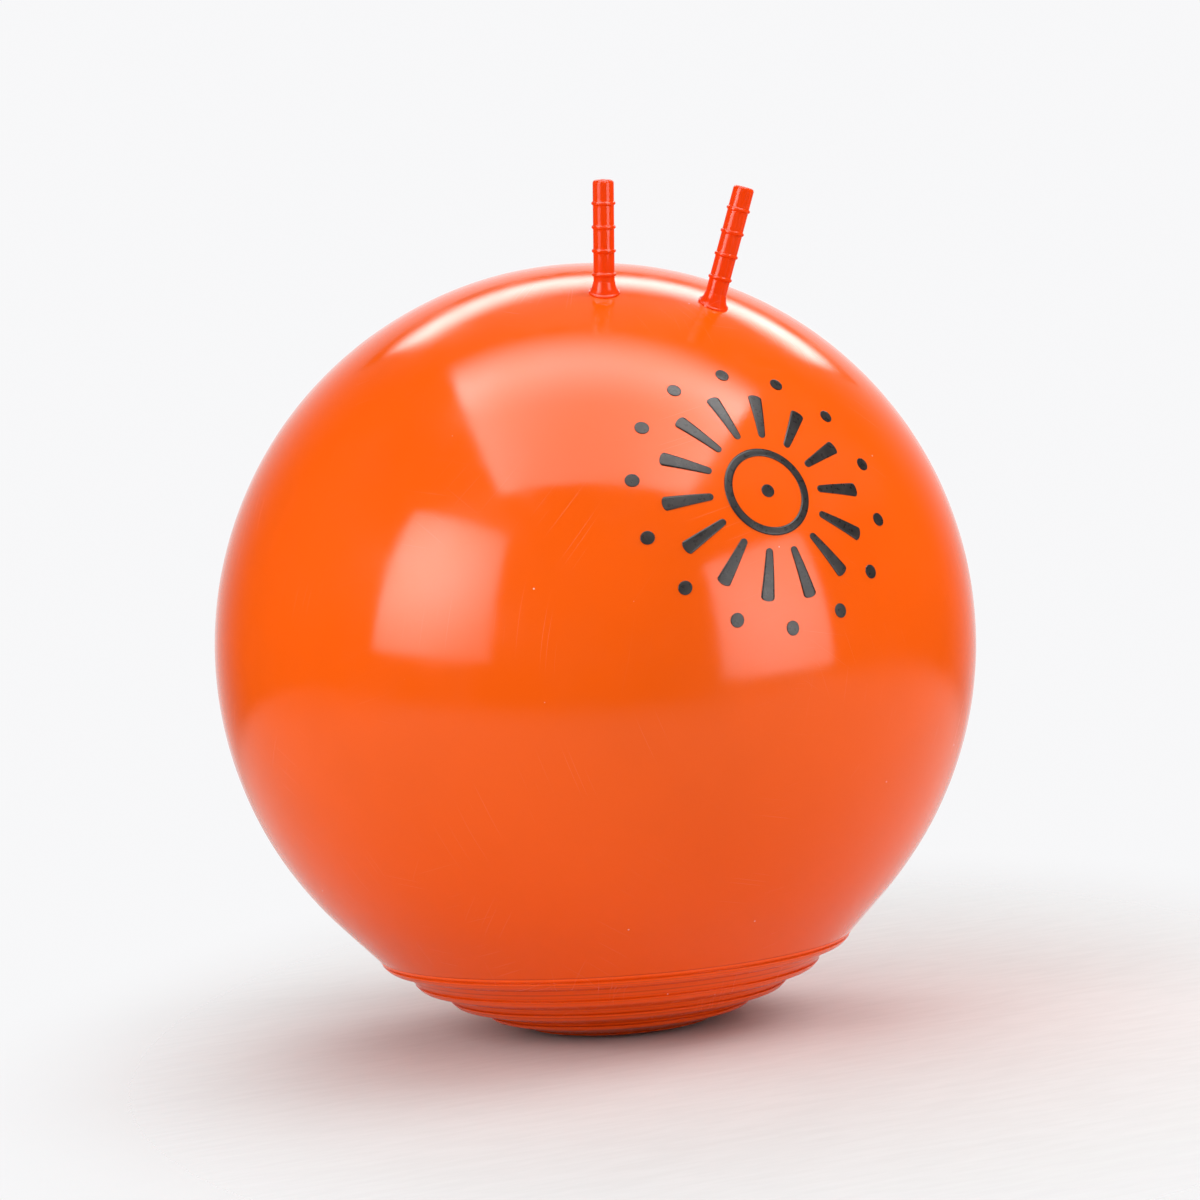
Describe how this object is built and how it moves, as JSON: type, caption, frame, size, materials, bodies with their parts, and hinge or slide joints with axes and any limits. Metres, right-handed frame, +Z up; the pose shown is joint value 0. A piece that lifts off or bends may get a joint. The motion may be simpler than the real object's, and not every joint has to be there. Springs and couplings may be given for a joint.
{
  "type": "hopper ball",
  "caption": "Hollow round hopper ball with flexible beaded finger horns on top, a stepped ribbed standing base and a push-in plug valve.",
  "frame": {"origin": "on the floor under the centre of the ball, in the middle of the standing base", "axes": "+Z up along the axis of the ribbed base, -Y to the front where the print and the horns are, +X to the rider's left"},
  "size_m": [0.6, 0.6001, 0.6563],
  "materials": {
    "ball_vinyl": "glossy soft vinyl with fine scratches",
    "base_vinyl": "glossy soft vinyl, scuffed on the ribs",
    "horn_vinyl": "glossy soft vinyl, deeper in colour",
    "plug_vinyl": "satin soft plastic",
    "print_ink": "satin screen-print ink"
  },
  "bodies": {
    "base": {"ribbed_base": "base_vinyl"},
    "ball": {"ball_skin": "ball_vinyl", "left_horn_collar": "horn_vinyl", "right_horn_collar": "horn_vinyl", "valve_seat": "ball_vinyl", "front_print": "print_ink"},
    "left_horn": {"left_horn": "horn_vinyl"},
    "right_horn": {"right_horn": "horn_vinyl"},
    "plug": {"valve_plug": "plug_vinyl"}
  },
  "joints": [
    {"name": "bounce", "type": "slide", "parent": "base", "child": "ball", "axis": [0, 0, -1], "range_m": [0, 0.05], "stiffness_N_per_m": 6000, "springref_m": -0.004},
    {"name": "left_horn_flex", "type": "hinge", "parent": "ball", "child": "left_horn", "pos_m": [0.04381, -0.15574, 0.57814], "axis": [0.9244, -0.2496, -0.2885], "range_deg": [-25, 25], "stiffness_Nm_per_rad": 1.2},
    {"name": "right_horn_flex", "type": "hinge", "parent": "ball", "child": "right_horn", "pos_m": [-0.03947, -0.12629, 0.58606], "axis": [0.9244, -0.3793, -0.0403], "range_deg": [-25, 25], "stiffness_Nm_per_rad": 1.2},
    {"name": "plug_pull", "type": "slide", "parent": "ball", "child": "plug", "axis": [0, 0.866, 0.5], "range_m": [0, 0.03]}
  ]
}
